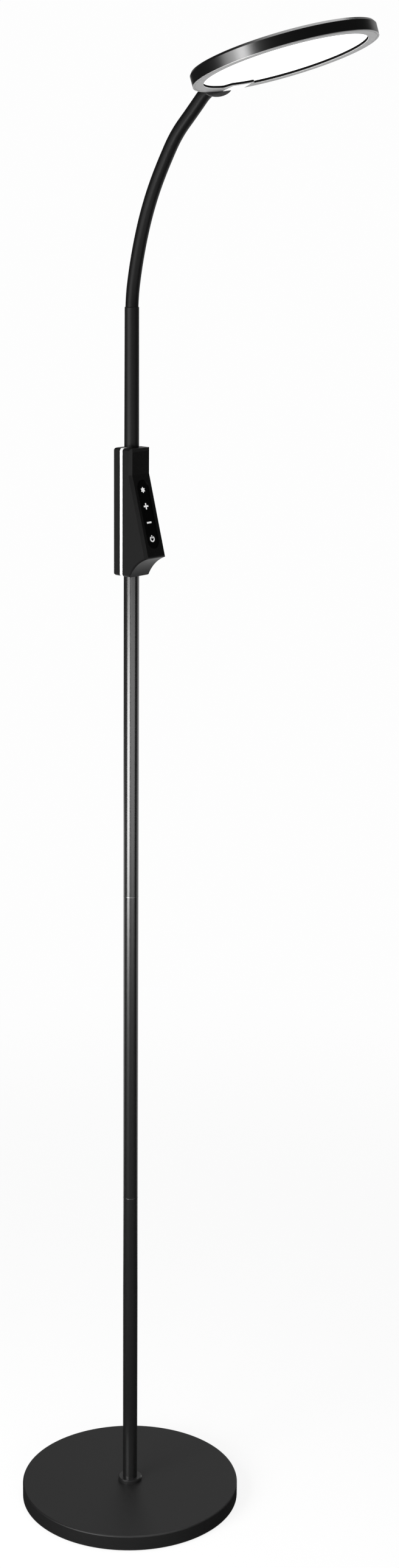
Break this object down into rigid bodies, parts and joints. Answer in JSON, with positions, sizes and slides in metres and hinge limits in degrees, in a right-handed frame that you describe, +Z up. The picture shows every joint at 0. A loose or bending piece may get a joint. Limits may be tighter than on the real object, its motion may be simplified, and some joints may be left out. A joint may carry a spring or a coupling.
{
  "type": "gooseneck reading floor lamp",
  "caption": "Floor lamp: weighted disc base, slim sectioned pole, wedge touch controller with symbol keys, bendable gooseneck and a tilted round edge-lit LED panel.",
  "frame": {"origin": "centre of the base's underside, on the axis of the pole", "axes": "+Z up along the pole; +X the way the keys face and the neck leans; the lamp's middle plane is XZ"},
  "size_m": [0.4667, 0.28, 1.846],
  "materials": {
    "satin_black_base": "satin black powder coat with a very fine grain",
    "cast_weight": "raw grey casting",
    "foam_pad": "soft matte foam rubber",
    "zinc_screw": "zinc plated steel",
    "satin_black_metal": "satin black, turned",
    "black_plastic": "matte black moulding",
    "pole_finish": "satin black with a faint metallic sparkle",
    "lead_jacket": "smooth jacket",
    "grey_shell": "dark grey moulding with a fine texture",
    "white_strip": "smooth white moulding",
    "gloss_panel": "mirror-smooth black panel",
    "circuit_board": "green laminate",
    "neck_rubber": "smooth matte black rubber",
    "core_steel": "bright drawn steel",
    "gloss_head": "glossy black moulding",
    "bezel_grey": "satin silver-grey face ring",
    "opal_diffuser": "opal white, lit",
    "clear_guide": "clear acrylic",
    "white_sheet": "matte white film",
    "led": "phosphor face",
    "tray_aluminium": "pressed sheet, plain"
  },
  "bodies": {
    "root": {"accent_strip": "white_strip", "base_cover": "satin_black_base", "base_pad": "foam_pad", "base_screws": "zinc_screw", "base_weight": "cast_weight", "controller_back_shell": "grey_shell", "controller_front_shell": "grey_shell", "controller_screws": "zinc_screw", "foot_nut": "zinc_screw", "foot_washer": "zinc_screw", "lower_coupling": "zinc_screw", "neck_adapter": "zinc_screw", "neck_core_base": "core_steel", "neck_lead": "lead_jacket", "neck_sheath_base": "neck_rubber", "neck_sleeve": "neck_rubber", "pole_collar": "satin_black_metal", "pole_foot": "zinc_screw", "pole_lead": "lead_jacket", "pole_lower_tube": "pole_finish", "pole_middle_tube": "pole_finish", "pole_upper_tube": "pole_finish", "power_inlet": "black_plastic", "touch_board": "circuit_board", "touch_pads": "foam_pad", "touch_panel": "gloss_panel", "upper_coupling": "zinc_screw"},
    "neck_link_1": {"neck_sheath_1": "neck_rubber", "neck_core_1": "core_steel"},
    "neck_link_2": {"neck_sheath_2": "neck_rubber", "neck_core_2": "core_steel"},
    "neck_link_3": {"neck_sheath_3": "neck_rubber", "neck_core_3": "core_steel"},
    "neck_link_4": {"neck_sheath_4": "neck_rubber", "neck_core_4": "core_steel"},
    "neck_link_5": {"neck_sheath_5": "neck_rubber", "neck_core_5": "core_steel"},
    "neck_link_6": {"neck_sheath_6": "neck_rubber", "neck_core_6": "core_steel"},
    "neck_link_7": {"neck_sheath_7": "neck_rubber", "neck_core_7": "core_steel"},
    "neck_link_8": {"neck_sheath_8": "neck_rubber", "neck_core_8": "core_steel"},
    "head": {"neck_sheath_end": "neck_rubber", "neck_core_end": "core_steel", "neck_socket": "satin_black_metal", "socket_block": "cast_weight", "socket_cover": "white_strip", "head_housing": "gloss_head", "head_bezel": "bezel_grey", "recess_ring": "black_plastic", "diffuser": "opal_diffuser", "light_guide": "clear_guide", "reflector_sheet": "white_sheet", "led_chips": "led", "led_strip": "circuit_board", "heat_tray": "tray_aluminium", "head_screws": "zinc_screw"}
  },
  "joints": [
    {"name": "neck_bend_1", "type": "hinge", "parent": "root", "child": "neck_link_1", "pos_m": [0, 0, 1.5415], "axis": [0, 1, 0], "range_deg": [-12, 12]},
    {"name": "neck_sway_1", "type": "hinge", "parent": "neck_link_1", "child": "neck_link_2", "pos_m": [0.00545, 0, 1.57405], "axis": [-0.9799, 0, 0.1994], "range_deg": [-10, 10]},
    {"name": "neck_bend_2", "type": "hinge", "parent": "neck_link_2", "child": "neck_link_3", "pos_m": [0.01315, 0, 1.60614], "axis": [0, 1, 0], "range_deg": [-12, 12]},
    {"name": "neck_sway_2", "type": "hinge", "parent": "neck_link_3", "child": "neck_link_4", "pos_m": [0.02307, 0, 1.63761], "axis": [-0.9382, 0, 0.3461], "range_deg": [-10, 10]},
    {"name": "neck_bend_3", "type": "hinge", "parent": "neck_link_4", "child": "neck_link_5", "pos_m": [0.03597, 0, 1.66799], "axis": [0, 1, 0], "range_deg": [-12, 12]},
    {"name": "neck_sway_3", "type": "hinge", "parent": "neck_link_5", "child": "neck_link_6", "pos_m": [0.05171, 0, 1.69699], "axis": [-0.866, 0, 0.5], "range_deg": [-10, 10]},
    {"name": "neck_bend_4", "type": "hinge", "parent": "neck_link_6", "child": "neck_link_7", "pos_m": [0.06896, 0, 1.72512], "axis": [0, 1, 0], "range_deg": [-12, 12]},
    {"name": "neck_sway_4", "type": "hinge", "parent": "neck_link_7", "child": "neck_link_8", "pos_m": [0.09229, 0, 1.74846], "axis": [-0.7163, 0, 0.6978], "range_deg": [-10, 10]},
    {"name": "neck_bend_5", "type": "hinge", "parent": "neck_link_8", "child": "head", "pos_m": [0.11501, 0, 1.77239], "axis": [0, 1, 0], "range_deg": [-12, 12]}
  ]
}
